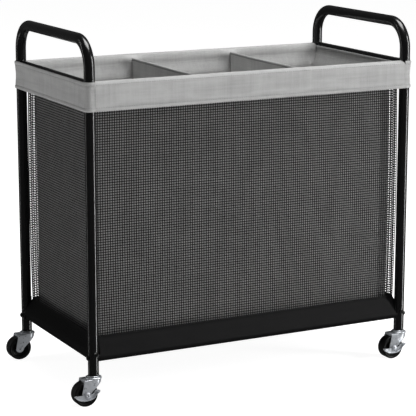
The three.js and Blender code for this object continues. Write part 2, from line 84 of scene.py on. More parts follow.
CUFF_LOW, CUFF_HIGH = (corner.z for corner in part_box("left_cuff"))
CUFF_OUT = POSTS["front_left"].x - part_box("left_cuff")[0].x
CUFF_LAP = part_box("left_cuff")[1].x - POSTS["front_left"].x
CUFF_INNER = -9.9 * MM
CLOTH = 1.2 * MM
HEM = 7 * MM
STITCH = 3.4 * MM
STITCH_GAP = 1.6 * MM
# The rings of one dash of thread: share of its length, lift, share of its width.
DASH = ((0, -0.4, 0.4), (0.15, 0.2, 0.9), (0.85, 0.2, 0.9), (1, -0.4, 0.4))

WALL_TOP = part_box("front_bag_wall")[1].z
BAG_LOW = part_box("front_bag_wall")[0].z
WALL_HALF_X = size_of("front_bag_wall").x / 2
WALL_HALF_Y = size_of("left_bag_wall").y / 2
MESH_OUT = -10.5 * MM
MESH_LOW = 134 * MM
MESH_TOP = CUFF_LOW + 22 * MM
LINING_OUT = -(POST_Y - size_of("left_divider").y / 2)
SLEEVE_R = 9.5 * MM
BASE_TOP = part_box("bag_base")[1].z
DIVIDER_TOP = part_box("left_divider")[1].z
DIVIDER_X = [centre_of(f"{side}_divider").x for side in SIDES]

PITCH = 5.2 * MM  # of the mesh's yarns, both ways
YARN_WIDE = 1.95 * MM
YARN_THICK = 0.6 * MM

# ---- Materials ----


def new_material(name, base, roughness, metallic=0.0, **sockets):
    """A Principled material and its shader."""
    material = bpy.data.materials.new(name)
    material.use_nodes = True
    shader = material.node_tree.nodes["Principled BSDF"]
    shader.inputs["Base Color"].default_value = (*base, 1)
    shader.inputs["Roughness"].default_value = roughness
    shader.inputs["Metallic"].default_value = metallic
    for key, value in sockets.items():
        shader.inputs[key.replace("_", " ")].default_value = value
    return material, shader


def add(material, kind, **settings):
    """A node of this kind. A setting named like an input sets it; others are properties."""
    node = material.node_tree.nodes.new(f"ShaderNode{kind}")
    for key, value in settings.items():
        title = key.replace("_", " ")
        if title in node.inputs:
            node.inputs[title].default_value = value
        else:
            setattr(node, key, value)
    return node


def wire(material, output, target):
    material.node_tree.links.new(output, target)


def coordinates(material, scale=(1, 1, 1), turn=(0, 0, 0)):
    source = add(material, "TexCoord")
    mapping = add(material, "Mapping", Scale=scale, Rotation=turn)
    wire(material, source.outputs["Object"], mapping.inputs["Vector"])
    return mapping.outputs["Vector"]


def noise_at(material, vector, scale, detail=3.0, roughness=0.5):
    node = add(material, "TexNoise", Scale=scale, Detail=detail, Roughness=roughness)
    wire(material, vector, node.inputs["Vector"])
    return node.outputs["Fac"]


def wave_at(material, vector, scale, direction, distortion=0.0):
    node = add(
        material,
        "TexWave",
        Scale=scale,
        Distortion=distortion,
        Detail_Scale=2.0,
        bands_direction=direction,
    )
    wire(material, vector, node.inputs["Vector"])
    return node.outputs["Fac"]


def remap(material, value, low, high, from_low=0.0, from_high=1.0):
    node = add(material, "MapRange")
    node.inputs["From Min"].default_value = from_low
    node.inputs["From Max"].default_value = from_high
    node.inputs["To Min"].default_value = low
    node.inputs["To Max"].default_value = high
    wire(material, value, node.inputs["Value"])
    return node.outputs["Result"]


def combine(material, operation, first, second):
    node = add(material, "Math", operation=operation)
    for index, value in enumerate((first, second)):
        if isinstance(value, (int, float)):
            node.inputs[index].default_value = value
        else:
            wire(material, value, node.inputs[index])
    return node.outputs["Value"]


def ramp(material, value, dark, light):
    node = add(material, "ValToRGB")
    node.color_ramp.elements[0].color = (*dark, 1)
    node.color_ramp.elements[1].color = (*light, 1)
    wire(material, value, node.inputs["Fac"])
    return node.outputs["Color"]


def bump(material, shader, height, strength, distance):
    node = add(material, "Bump", Strength=strength, Distance=distance)
    wire(material, height, node.inputs["Height"])
    wire(material, node.outputs["Normal"], shader.inputs["Normal"])


def black_paint():
    material, shader = new_material(
        "black_powder_coat", (0.003, 0.003, 0.0031), 0.2, Specular_IOR_Level=0.4
    )
    vector = coordinates(material)
    wear = noise_at(material, vector, 18, 4)
    tone = ramp(material, wear, (0.002, 0.002, 0.0021), (0.0045, 0.0045, 0.0047))
    wire(material, tone, shader.inputs["Base Color"])
    wire(material, remap(material, wear, 0.16, 0.26), shader.inputs["Roughness"])
    bump(material, shader, noise_at(material, vector, 700, 2), 0.08, 0.0002)
    return material


def zinc_plate():
    material, shader = new_material("zinc_plate", (0.5, 0.52, 0.55), 0.3, metallic=0.6)
    vector = coordinates(material)
    cloud = noise_at(material, vector, 140, 5, 0.6)
    tone = ramp(material, cloud, (0.36, 0.38, 0.41), (0.64, 0.66, 0.69))
    wire(material, tone, shader.inputs["Base Color"])
    wire(material, remap(material, cloud, 0.18, 0.42), shader.inputs["Roughness"])
    brushed = noise_at(material, coordinates(material, (1, 1, 12)), 700, 2)
    bump(material, shader, brushed, 0.2, 0.0003)
    return material


def moulded_plastic(name, tone, gloss):
    material, shader = new_material(name, (tone,) * 3, gloss, Specular_IOR_Level=0.28)
    vector = coordinates(material)
    cloud = noise_at(material, vector, 60, 4)
    wire(material, remap(material, cloud, gloss - 0.07, gloss + 0.1), shader.inputs["Roughness"])
    shade = ramp(material, cloud, (tone * 0.75,) * 3, (tone * 1.35,) * 3)
    wire(material, shade, shader.inputs["Base Color"])
    bump(material, shader, noise_at(material, vector, 1600, 2), 0.1, 0.0002)
    return material


def woven_cloth(name, dark, light, thread, slub, sheen=0.15, relief=0.35, gloss=(0.92, 0.2)):
    """Plain weave: crossed threads a given distance apart, with uneven, slubby yarns."""
    roughness, specular = gloss
    material, shader = new_material(name, light, roughness, Specular_IOR_Level=specular)
    shader.inputs["Sheen Weight"].default_value = sheen
    shader.inputs["Sheen Roughness"].default_value = 0.5
    # A band of a wave texture repeats every pi / (10 * scale).
    frequency = math.pi / (10 * thread)
    vector = coordinates(material)
    across = wave_at(material, vector, frequency, "X", 0.6)
    depth = wave_at(material, vector, frequency, "Y", 0.6)
    upward = wave_at(material, vector, frequency, "Z", 0.6)
    weave = combine(material, "MULTIPLY", combine(material, "MAXIMUM", across, depth), upward)
    level = noise_at(material, coordinates(material, (9, 9, 160)), slub, 3, 0.65)
    upright = noise_at(material, coordinates(material, (160, 160, 9)), slub, 3, 0.65)
    yarns = combine(material, "ADD", level, upright)
    mottle = noise_at(material, vector, 30, 3)
    mixed = combine(material, "ADD", combine(material, "MULTIPLY", yarns, 0.9), weave)
    mixed = combine(material, "ADD", mixed, combine(material, "MULTIPLY", mottle, 0.4))
    tone = ramp(material, remap(material, mixed, 0.0, 1.0, 0.65, 2.1), dark, light)
    wire(material, tone, shader.inputs["Base Color"])
    bump(material, shader, mixed, relief, 0.0005)
    return material


def coated_yarn():
    material, shader = new_material(
        "coated_yarn", (0.004, 0.004, 0.0042), 0.5, Specular_IOR_Level=0.25
    )
    vector = coordinates(material)
    cloud = noise_at(material, vector, 90, 4)
    tone = ramp(material, cloud, (0.0015, 0.0015, 0.0016), (0.0045, 0.0045, 0.0047))
    wire(material, tone, shader.inputs["Base Color"])
    wire(material, remap(material, cloud, 0.45, 0.65), shader.inputs["Roughness"])
    bump(material, shader, noise_at(material, vector, 2400, 2), 0.25, 0.0002)
    return material


PAINT = black_paint()
ZINC = zinc_plate()
PLASTIC = moulded_plastic("black_plastic", 0.006, 0.45)
WHEEL = moulded_plastic("wheel_plastic", 0.0018, 0.38)
WEAVE = 1.1 * MM
CUFF = woven_cloth("cuff_linen", (0.2, 0.2, 0.198), (0.36, 0.36, 0.357), WEAVE, 1.0)
TRIM = woven_cloth("trim_linen", (0.24, 0.24, 0.238), (0.42, 0.42, 0.416), WEAVE, 1.0)
LINING = woven_cloth("lining_linen", (0.24, 0.24, 0.238), (0.42, 0.42, 0.416), WEAVE, 1.0)
BAND = woven_cloth(
    "band_polyester",
    (0.001, 0.001, 0.0011),
    (0.004, 0.004, 0.0042),
    0.7 * MM,
    1.6,
    sheen=0.0,
    relief=0.15,
    gloss=(0.6, 0.1),
)
# Painted light: the dividers are the lining's grey linen painted lighter, standing in for the extra
# light that falls on them.
DIVIDER_PAINTED_LIGHTER = woven_cloth("divider_linen", (0.46, 0.46, 0.455), (0.72, 0.72, 0.713), WEAVE, 1.0)
YARN = coated_yarn()
THREAD = woven_cloth(
    "stitching_thread", (0.09, 0.09, 0.089), (0.16, 0.16, 0.158), 0.4 * MM, 2.0, sheen=0.05
)
BLACK_THREAD = woven_cloth(
    "black_thread", (0.004, 0.004, 0.0042), (0.012, 0.012, 0.0125), 0.4 * MM, 2.0, sheen=0.05
)

# ---- Building pieces ----


def new_object(name, verts, faces, material, crease=35):
    mesh = bpy.data.meshes.new(name)
    mesh.from_pydata([tuple(v) for v in verts], [], faces)
    mesh.validate()
    mesh.polygons.foreach_set("use_smooth", [True] * len(mesh.polygons))
    mesh.set_sharp_from_angle(angle=math.radians(crease))
    mesh.materials.append(material)
    made = bpy.data.objects.new(name, mesh)
    bpy.context.scene.collection.objects.link(made)
    return made


def settle(piece, crease=35):
    """Applies the piece's modifiers and smooths its faces."""
    graph = bpy.context.evaluated_depsgraph_get()
    mesh = bpy.data.meshes.new_from_object(piece.evaluated_get(graph))
    piece.modifiers.clear()
    piece.data = mesh
    mesh.polygons.foreach_set("use_smooth", [True] * len(mesh.polygons))
    mesh.set_sharp_from_angle(angle=math.radians(crease))
    return piece


def thicken(piece, thickness, offset=-1.0):
    modifier = piece.modifiers.new("thickness", "SOLIDIFY")
    modifier.thickness = thickness
    modifier.offset = offset
    modifier.use_even_offset = True
    return piece


def soften(piece, width, segments=2, angle=30):
    modifier = piece.modifiers.new("soft_edges", "BEVEL")
    modifier.width = width
    modifier.segments = segments
    modifier.limit_method = "ANGLE"
    modifier.angle_limit = math.radians(angle)
    modifier.harden_normals = False
    return piece


def boolean(piece, tool, operation):
    modifier = piece.modifiers.new("cut", "BOOLEAN")
    modifier.operation = operation
    modifier.solver = "EXACT"
    modifier.object = tool
    settle(piece)
    bpy.data.objects.remove(tool)
    return piece


def orient(piece):
    """Turns the faces of a closed piece outward."""
    mesh = bmesh.new()
    mesh.from_mesh(piece.data)
    bmesh.ops.remove_doubles(mesh, verts=mesh.verts, dist=0.001 * MM)
    bmesh.ops.recalc_face_normals(mesh, faces=mesh.faces)
    mesh.to_mesh(piece.data)
    mesh.free()
    return piece


def finish_piece(piece, body="frame", replaces=()):
    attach(piece, body)
    if replaces:
        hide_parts(*replaces)
    return piece


def grid_faces(rows, columns, closed_rows=False, closed_columns=False):
    """Quads of a grid stored row by row; its normal is the column step x the row step."""
    faces = []
    for i in range(rows if closed_rows else rows - 1):
        for j in range(columns if closed_columns else columns - 1):
            k, n = (i + 1) % rows, (j + 1) % columns
            corners = (i * columns + j, i * columns + n, k * columns + n, k * columns + j)
            faces.append(corners)
    return faces


def sweep(name, rings, material, capped=True, closed=False):
    """A skin over rings of points, each with as many points, wound so that it faces out."""
    sides = len(rings[0])
    verts = [point for ring in rings for point in ring]
    faces = grid_faces(len(rings), sides, closed_rows=closed, closed_columns=True)
    if capped and not closed:
        faces.append(tuple(reversed(range(sides))))
        faces.append(tuple(range(len(verts) - sides, len(verts))))
    return new_object(name, verts, faces, material)


def ring(centre, direction, across, radius, sides):
    """Points round a tube's axis, counter-clockwise seen from where it is heading."""
    upward = direction.cross(across)
    points = []
    for k in range(sides):
        angle = 2 * math.pi * k / sides
        points.append(centre + radius * (math.cos(angle) * across + math.sin(angle) * upward))
    return points


def straight_tube(name, start, end, radius, material, sides=40, edge=0.0):
    """A round bar with slightly broken ends."""
    direction = (end - start).normalized()
    across = Vector((1, 0, 0)) if abs(direction.x) < 0.5 else UP
    rings = []
    if edge:
        rings.append(ring(start, direction, across, radius - edge, sides))
        rings.append(ring(start + direction * edge, direction, across, radius, sides))
        rings.append(ring(end - direction * edge, direction, across, radius, sides))
        rings.append(ring(end, direction, across, radius - edge, sides))
    else:
        rings.append(ring(start, direction, across, radius, sides))
        rings.append(ring(end, direction, across, radius, sides))
    return sweep(name, rings, material)


def coped_tube(name, start, end, radius, post_r, material, sides=40):
    """A level tube between two post axes, its ends shaped to the round posts."""
    direction = (end - start).normalized()
    level = UP.cross(direction)
    rings = []
    for centre, sign in ((start, 1), (end, -1)):
        points = []
        for point in ring(centre, direction, UP, radius, sides):
            off = (point - centre).dot(level)
            points.append(point + sign * direction * math.sqrt(post_r**2 - off**2))
        rings.append(points)
    return sweep(name, rings, material)


def turned(name, profile, centre, axis, material, sides=64, crease=35):
    """A profile of (radius, distance along the axis) pairs turned about an axis."""
    across = UP if abs(axis.z) < 0.5 else Vector((1, 0, 0))
    verts, starts = [], []
    for radius, along in profile:
        starts.append(len(verts))
        point = centre + axis * along
        verts += [point] if radius == 0 else ring(point, axis, across, radius, sides)
    faces = []
    for (r0, _), (r1, _), a, b in zip(profile, profile[1:], starts, starts[1:]):
        for k in range(sides):
            n = (k + 1) % sides
            if r0 == 0:
                faces.append((a, b + n, b + k)[::-1])
            elif r1 == 0:
                faces.append((a + k, a + n, b))
            else:
                faces.append((a + k, a + n, b + n, b + k))
    return new_object(name, verts, faces, material, crease)


def arc(centre, radii, start, end, steps):
    """Points on an ellipse's arc, with its angles in degrees."""
    points = []
    for k in range(steps + 1):
        angle = math.radians(start + (end - start) * k / steps)
        x = centre[0] + radii[0] * math.cos(angle)
        points.append((x, centre[1] + radii[1] * math.sin(angle)))
    return points


def curve(start, control, end, steps):
    """Points on a quadratic curve, its start left out."""
    points = []
    for k in range(1, steps + 1):
        t = k / steps
        weights = ((1 - t) ** 2, 2 * t * (1 - t), t * t)
        x = sum(w * p[0] for w, p in zip(weights, (start, control, end)))
        y = sum(w * p[1] for w, p in zip(weights, (start, control, end)))
        points.append((x, y))
    return points


def prism(name, outline, low, high, plane, material):
    """An outline pushed from low to high: in plan along Z, or seen from the front along Y."""
    count = len(outline)
    if plane == "plan":
        verts = [Vector((x, y, z)) for z in (low, high) for x, y in outline]
    else:
        verts = [Vector((x, y, z)) for y in (high, low) for x, z in outline]
    faces = [tuple(reversed(range(count))), tuple(range(count, 2 * count))]
    for k in range(count):
        n = (k + 1) % count
        faces.append((k, n, count + n, count + k))
    return new_object(name, verts, faces, material)


# ---- Frame tubes ----


def bow_rings(x, radius, sides=40):
    """Rings up one post, over the handle and down the other."""
    across = Vector((1, 0, 0))
    front, back = MIDDLE.y - POST_Y, MIDDLE.y + POST_Y
    bend_steps = 20
    stations = [(Vector((x, front, LEG_TOP + 0.3 * MM)), UP)]
    for side, middle_y in ((-1, front + BEND_R), (1, back - BEND_R)):
        for step in range(bend_steps + 1):
            turn = math.pi / 2 * step / bend_steps
            angle = math.pi - turn if side < 0 else math.pi / 2 - turn
            radial = Vector((0, math.cos(angle), math.sin(angle)))
            tangent = Vector((0, math.sin(angle), -math.cos(angle)))
            centre = Vector((x, middle_y, HANDLE_Z - BEND_R))
            stations.append((centre + radial * BEND_R, tangent))
    stations.append((Vector((x, back, LEG_TOP + 0.3 * MM)), -UP))
    return [ring(point, tangent, across, radius, sides) for point, tangent in stations]


def weld_bead(name, post, direction, z):
    """The fillet of weld where a crossbar meets a post, with its stacked ripples."""
    sides, round_bead = 72, 8
    level = UP.cross(direction)
    verts = []
    for k in range(sides):
        angle = 2 * math.pi * k / sides
        around = math.cos(angle) * UP + math.sin(angle) * level
        off = math.sin(angle) * RAIL_R
        reach = math.sqrt(TUBE_R**2 - off**2)
        root = post + direction * reach + around * RAIL_R
        root.z += z
        bead = (1.15 + 0.18 * math.cos(18 * angle)) * MM
        for m in range(round_bead):
            turn = 2 * math.pi * m / round_bead
            verts.append(root + bead * (math.cos(turn) * direction + math.sin(turn) * around))
    faces = grid_faces(sides, round_bead, closed_rows=True, closed_columns=True)
    return new_object(name, verts, faces, PAINT, 60)


def build_frame():
    for side in SIDES:
        x = POSTS[f"front_{side}"].x
        bow = sweep(f"{side}_handle_tube", bow_rings(x, TUBE_R), PAINT)
        finish_piece(bow, replaces=[f"{side}_handle_bow"])
        front, back = (POSTS[f"{depth}_{side}"].copy() for depth in DEPTHS)
        for part, z in (("top_crossbar", CROSSBAR_Z), ("bottom_rail", SIDE_RAIL_Z)):
            start, end = front.copy(), back.copy()
            start.z = end.z = z
            bar = coped_tube(f"{side}_{part}_tube", start, end, RAIL_R, TUBE_R, PAINT)
            finish_piece(bar, replaces=[f"{side}_{part}"])
        for depth, sign in DEPTHS.items():
            post = POSTS[f"{depth}_{side}"].copy()
            post.z = 0
            bead = weld_bead(f"{depth}_{side}_weld", post, Vector((0, -sign, 0)), CROSSBAR_Z)
            finish_piece(bead)
    for depth in DEPTHS:
        left, right = (POSTS[f"{depth}_{side}"].copy() for side in SIDES)
        for part, z in (("top_rail", TOP_RAIL_Z), ("bottom_rail", LONG_RAIL_Z)):
            start, end = left.copy(), right.copy()
            start.z = end.z = z
            bar = coped_tube(f"{depth}_{part}_tube", start, end, RAIL_R, TUBE_R, PAINT)
            finish_piece(bar, replaces=[f"{depth}_{part}"])
    for corner, post in POSTS.items():
        foot, top = post.copy(), post.copy()
        foot.z, top.z = LEG_BOTTOM, LEG_TOP
        leg = straight_tube(f"{corner}_leg_tube", foot, top, TUBE_R, PAINT, 40, 0.5 * MM)
        finish_piece(leg, replaces=[f"{corner}_leg"])


build_frame()

# ---- Walls of the bag: each face has its own directions and reach ----


class Face:
    """One side of the sorter, between two posts: along x up = outward."""

    def __init__(self, name, along, outward, half, reach):
        self.name = name
        self.along = Vector(along)
        self.outward = Vector(outward)
        self.half = half  # from the middle to a post axis
        self.reach = reach  # from the middle to the line of post axes

    def at(self, along, out, z):
        point = MIDDLE + self.along * along + self.outward * (self.reach + out)
        point.z = z
        return point


FACES = [
    Face("front", (1, 0, 0), (0, -1, 0), POST_X, POST_Y),
    Face("back", (-1, 0, 0), (0, 1, 0), POST_X, POST_Y),
    Face("left", (0, -1, 0), (-1, 0, 0), POST_Y, POST_X),
    Face("right", (0, 1, 0), (1, 0, 0), POST_Y, POST_X),
]
LONG_FACES = FACES[:2]
END_FACES = FACES[2:]


def cloth_grid(name, rows, columns, point, material, crease=60):
    """A sheet from point(row share, column share); it faces columns x rows."""
    verts = [
        point(i / (rows - 1), j / (columns - 1)) for i in range(rows) for j in range(columns)
    ]
    return new_object(name, verts, grid_faces(rows, columns), material, crease)


def ripple(place, scale, height, seed):
    """A smooth, repeatable unevenness of the cloth."""
    return height * noise.noise(Vector(place) * scale + Vector((seed, 2.7 * seed, 0.3)))


def smooth(value):
    value = min(1.0, max(0.0, value))
    return value * value * (3 - 2 * value)


def billow(face, along, z):
    """How far the mesh swells out between its sewn edges."""
    across = 1 - (along / face.half) ** 2
    upward = math.sin(math.pi * smooth((z - MESH_LOW) / (WALL_TOP - MESH_LOW)))
    waves = ripple((along, z, 0), 5.0, 1.2 * MM, face.reach)
    return 1.2 * MM * across * upward + waves * across


def corner_bulge(z):
    """How far the bag's upright corners lean out between the cuff and the band."""
    share = (z - MESH_LOW) / (CUFF_LOW - MESH_LOW)
    return 2.0 * MM * math.sin(math.pi * min(1.0, max(0.0, share)))


def yarn_rings(path, across, wide, thick):
    """The flat oval sections of one yarn along its path, four points each."""
    rings = []
    for point, outward in path:
        side = across * wide / 2
        inner, outer = outward * thick * -0.35, outward * thick * 0.65
        rings.append([point - side, point + inner, point + side, point + outer])
    return rings


def stitches(name, line, outward, material, wide=0.8 * MM):
    """A row of thread dashes along a line of points, lying on cloth that faces outward."""
    lengths = [0.0]
    for start, end in zip(line, line[1:]):
        lengths.append(lengths[-1] + (end - start).length)

    def along(distance):
        for k, (low, high) in enumerate(zip(lengths, lengths[1:])):
            if distance <= high:
                share = (distance - low) / max(high - low, 1e-9)
                facing = outward[k].lerp(outward[k + 1], share).normalized()
                return line[k].lerp(line[k + 1], share), facing
        return line[-1], outward[-1]

    verts, faces = [], []
    step = STITCH + STITCH_GAP
    for index in range(int((lengths[-1] - STITCH) / step)):
        rings = []
        for share, lift, width in DASH:
            place = index * step + STITCH_GAP + share * STITCH
            point, facing = along(place)
            ahead, _ = along(place + 0.1 * MM)
            behind, _ = along(place - 0.1 * MM)
            across = facing.cross((ahead - behind).normalized())
            point = point + facing * lift * MM * 0.5
            rings.append(yarn_rings([(point, facing)], across, width * wide, 0.7 * MM)[0])
        base = len(verts)
        for points in rings:
            verts.extend(points)
        faces += [tuple(base + k for k in quad) for quad in grid_faces(4, 4, False, True)]
        faces.append((base + 3, base + 2, base + 1, base))
        faces.append((base + 12, base + 13, base + 14, base + 15))
    return finish_piece(new_object(name, verts, faces, material, 80))


def mesh_panel(face, half, replaced):
    """The open mesh: straight level yarns, and upright yarns that pass over and under them."""
    columns = int(2 * half / PITCH)
    rows = int((MESH_TOP - MESH_LOW) / PITCH)
    verts, faces = [], []

    def add_yarn(rings):
        base = len(verts)
        for points in rings:
            verts.extend(points)
        for quad in grid_faces(len(rings), 4, closed_columns=True):
            faces.append(tuple(base + k for k in reversed(quad)))
        end = base + 4 * (len(rings) - 1)
        faces.append((base, base + 1, base + 2, base + 3))
        faces.append((end + 3, end + 2, end + 1, end))

    z_of = [MESH_LOW + PITCH * (row + 0.5) for row in range(rows)]
    for z in z_of:
        steps = 24
        reach = half + corner_bulge(z)
        path = []
        for step in range(steps + 1):
            along = -reach + 2 * reach * step / steps
            path.append((face.at(along, MESH_OUT + billow(face, along, z), z), face.outward))
        add_yarn(yarn_rings(path, UP, YARN_WIDE, YARN_THICK))
    for column in range(columns):
        flat = -half + PITCH * (column + 0.5) + (2 * half - columns * PITCH) / 2
        path = []
        for row, z in enumerate(z_of):
            along = flat * (1 + corner_bulge(z) / half)
            over = YARN_THICK * (0.55 if (row + column) % 2 else -0.45)
            out = MESH_OUT + billow(face, along, z) + over
            path.append((face.at(along, out, z), face.outward))
        add_yarn(yarn_rings(path, -face.along, YARN_WIDE, YARN_THICK))
    panel = new_object(f"{face.name}_mesh_panel", verts, faces, YARN, 80)
    finish_piece(panel, replaces=replaced)


def upper_bar(face):
    bar = "top_rail" if face in LONG_FACES else "top_crossbar"
    return f"{face.name}_{bar}_tube"


def corner_seam(corner):
    """The bound seam up a corner of the bag, where two panels of mesh meet."""
    depth, side = corner.split("_")
    post = POSTS[corner]
    inward = Vector((-SIDES[side], -DEPTHS[depth], 0))
    diagonal = inward.normalized()
    level = UP.cross(diagonal)
    rings = []
    for step in range(41):
        z = MESH_LOW + (CUFF_LOW + 10 * MM - MESH_LOW) * step / 40
        centre = post + inward * (11.2 * MM - corner_bulge(z))
        centre.z = z
        points = []
        for k in range(10):
            angle = -2 * math.pi * k / 10
            points.append(
                centre + level * 2.0 * MM * math.cos(angle) + diagonal * 0.8 * MM * math.sin(angle)
            )
        rings.append(points)
    seam = sweep(f"{corner}_bag_seam", rings, BAND)
    orient(seam)
    finish_piece(seam)


def corner_gusset(corner):
    """The band's turn round the inside of a post, with a scooped top edge."""
    depth, side = corner.split("_")
    post = POSTS[corner]
    along_x = Vector((-SIDES[side], 0, 0))
    along_y = Vector((0, -DEPTHS[depth], 0))
    radius = TUBE_R + 1.2 * MM

    def point(i, j):
        scoop = math.sin(math.pi * j) ** 0.7
        top = MESH_LOW + 3 * MM - 16 * MM * scoop
        z = BAG_LOW + 3 * MM + (top - BAG_LOW - 3 * MM) * i
        spread = (1 - i) ** 0.8 * 9 * MM
        if j < 0.25:
            flat = along_x * radius - along_y * spread * (0.25 - j) * 4
        elif j > 0.75:
            flat = along_y * radius - along_x * spread * (j - 0.75) * 4
        else:
            angle = (j - 0.25) * math.pi
            flat = (along_x * math.cos(angle) + along_y * math.sin(angle)) * radius
        place = post + flat
        place.z = z
        return place

    sheet = cloth_grid(f"{corner}_band_corner", 16, 33, point, BAND)
    thicken(sheet, 0.8 * MM, 0.0)
    settle(sheet, 60)
    orient(sheet)
    finish_piece(sheet)


def fold_out(face, z):
    """Where the lining's upper part lies: up to the fold of the cuff, or inside a crossbar."""
    crown = CUFF_HIGH - 9.5 * MM
    if face in END_FACES or z < crown:
        return -11.8 * MM if face in LONG_FACES else -9.6 * MM
    lean = math.sqrt(max(0.0, 1 - ((z - crown) / (10.8 * MM)) ** 2))
    return 1.5 * MM - 13.3 * MM * lean


def drape(face, z):
    top = smooth((z - (WALL_TOP - 48 * MM)) / (38 * MM))
    return LINING_OUT + (fold_out(face, z) - LINING_OUT) * top


def lining_out(face, along, half, z):
    """The drape with its soft folds, drawn inward where a divider is sewn to it."""
    out = drape(face, z)
    if face in LONG_FACES:
        for x in DIVIDER_X:
            near = math.exp(-(((along * face.along.x + MIDDLE.x - x) / (16 * MM)) ** 2))
            out += (LINING_OUT - out) * 0.75 * near * (z < WALL_TOP)
    low = smooth((z - BASE_TOP) / (60 * MM)) * smooth((WALL_TOP - z) / (50 * MM))
    inner = 1 - abs(along / half) ** 8
    out += ripple((along, z * 0.25, 0), 14.0, 3.0 * MM, face.reach + 3) * low * inner
    out += ripple((along, z, 0), 45.0, 0.5 * MM, face.reach + 5) * inner * low
    return out


def lining(face):
    rows, columns = 80, 150 if face in LONG_FACES else 70
    low = BASE_TOP + 0.5 * MM
    high = CUFF_HIGH - 2.0 * MM if face in LONG_FACES else WALL_TOP + 1.0 * MM
    neighbour = END_FACES[0] if face in LONG_FACES else LONG_FACES[0]

    def point(i, j):
        z = low + (high - low) * i
        half = face.half + drape(neighbour, min(z, WALL_TOP - 4 * MM))
        along = -half + 2 * half * j
        return face.at(along, lining_out(face, along, half, z), z)

    sheet = cloth_grid(f"{face.name}_lining", rows, columns, point, LINING)
    thicken(sheet, 0.7 * MM, 1.0)
    settle(sheet, 60)
    finish_piece(sheet)
    edge = [point(1, j / 60) for j in range(61)]
    trim = []
    for place in edge:
        points = []
        for k in range(10):
            angle = 2 * math.pi * k / 10
            points.append(
                place
                + face.outward * 1.1 * MM * math.cos(angle)
                + UP * (2.6 * MM * math.sin(angle) - 2.2 * MM)
            )
        trim.append(points)
    if face in END_FACES:
        binding = orient(sweep(f"{face.name}_lining_trim", trim, TRIM))
        finish_piece(binding)


def band_section(rail_z):
    """The solid band: taut from the mesh down to the rail, round it and under the base."""
    start = (MESH_OUT + 1.0 * MM, MESH_LOW)
    away = math.dist(start, (0, rail_z))
    lean = math.atan2(start[1] - rail_z, start[0]) - math.acos(SLEEVE_R / away)
    rail = (0, rail_z)
    points = [(start[0] - 0.1 * MM, start[1] + 4 * MM), start]
    touch = arc(rail, (SLEEVE_R, SLEEVE_R), math.degrees(lean), 0, 8)
    points += [
        (start[0] + (touch[0][0] - start[0]) * k / 5, start[1] + (touch[0][1] - start[1]) * k / 5)
        for k in range(1, 5)
    ]
    points += touch
    low = BAG_LOW + CLOTH / 2
    corner = min(SLEEVE_R, rail_z - low)
    drop = rail_z - low - corner
    if drop > 1 * MM:
        points += [(SLEEVE_R - 1.0 * MM, rail_z - drop * 0.5), (SLEEVE_R - 1.4 * MM, low + corner)]
    points += arc((points[-1][0] - corner, low + corner), (corner, corner), -12, -90, 7)
    points.append((-8 * MM, low))
    points.append((LINING_OUT + 4 * MM, low + 0.3 * MM))
    return points


def band(face, half):
    rail_z = LONG_RAIL_Z if face in LONG_FACES else SIDE_RAIL_Z
    section = band_section(rail_z)
    columns = 90 if face in LONG_FACES else 60

    def point(i, j):
        out, z = section[round(i * (len(section) - 1))]
        along = -half + 2 * half * j
        loose = smooth(min(half - abs(along), 40 * MM) / (40 * MM))
        free = math.sin(math.pi * smooth((z - rail_z) / (MESH_LOW - rail_z)))
        out += ripple((along * 0.6, z * 3, 0), 14.0, 1.6 * MM, face.reach + 7) * loose * free
        return face.at(along, out - CLOTH / 2, z)

    sheet = cloth_grid(f"{face.name}_bottom_band", len(section), columns, point, BAND)
    for polygon in sheet.data.polygons:
        polygon.flip()
    thicken(sheet, CLOTH)
    settle(sheet, 60)
    finish_piece(sheet)
    run = sum(math.dist(a, b) for a, b in zip(section, section[1:]))
    return sheet


def band_seam(face, half):
    """The row of stitches where the mesh is sewn to the top of the band."""
    line = []
    for k in range(61):
        along = -half + 2 * half * k / 60
        line.append(face.at(along, MESH_OUT + 1.1 * MM, MESH_LOW + 2 * MM))
    stitches(f"{face.name}_band_stitches", line, [face.outward] * 61, BLACK_THREAD)


for face in FACES:
    half = WALL_HALF_X if face in LONG_FACES else WALL_HALF_Y
    mesh_panel(face, half, [f"{face.name}_bag_wall"])
    lining(face)
    band(face, half)
    band_seam(face, half)
for corner in CORNERS:
    corner_seam(corner)
    corner_gusset(corner)

# ---- Cuff ----


def cuff_section():
    """Up the outer flap, over the rail and down inside, as (out, z) pairs from the hem."""
    middle = (CUFF_OUT + CUFF_INNER) / 2
    reach = (CUFF_OUT - CUFF_INNER) / 2 - CLOTH / 2
    rise = RAIL_R + 0.3 * MM + CLOTH / 2
    crown = CUFF_HIGH - CLOTH / 2 - rise
    low = CUFF_LOW + CLOTH / 2
    hem = 0.7 * MM
    outer = CUFF_OUT - CLOTH / 2
    levels = [
        (0.0, -0.3 * MM),
        (0.6 * MM, hem * 0.7),
        (2 * MM, hem),
        (HEM - 1.6 * MM, hem),
        (HEM - 0.3 * MM, -0.3 * MM),
        (HEM + 0.8 * MM, 0.1 * MM),
        (HEM + 4 * MM, 0.0),
        (18 * MM, -0.3 * MM),
        (28 * MM, -0.4 * MM),
        (38 * MM, -0.2 * MM),
    ]
    points = [(outer + out, low + up) for up, out in levels]
    points += arc((middle, crown), (reach, rise), 8, 180, 22)
    inner_low = CUFF_LOW + 30 * MM
    points += [(CUFF_INNER + CLOTH / 2, z) for z in (crown - 8 * MM, crown - 16 * MM, inner_low)]
    return points


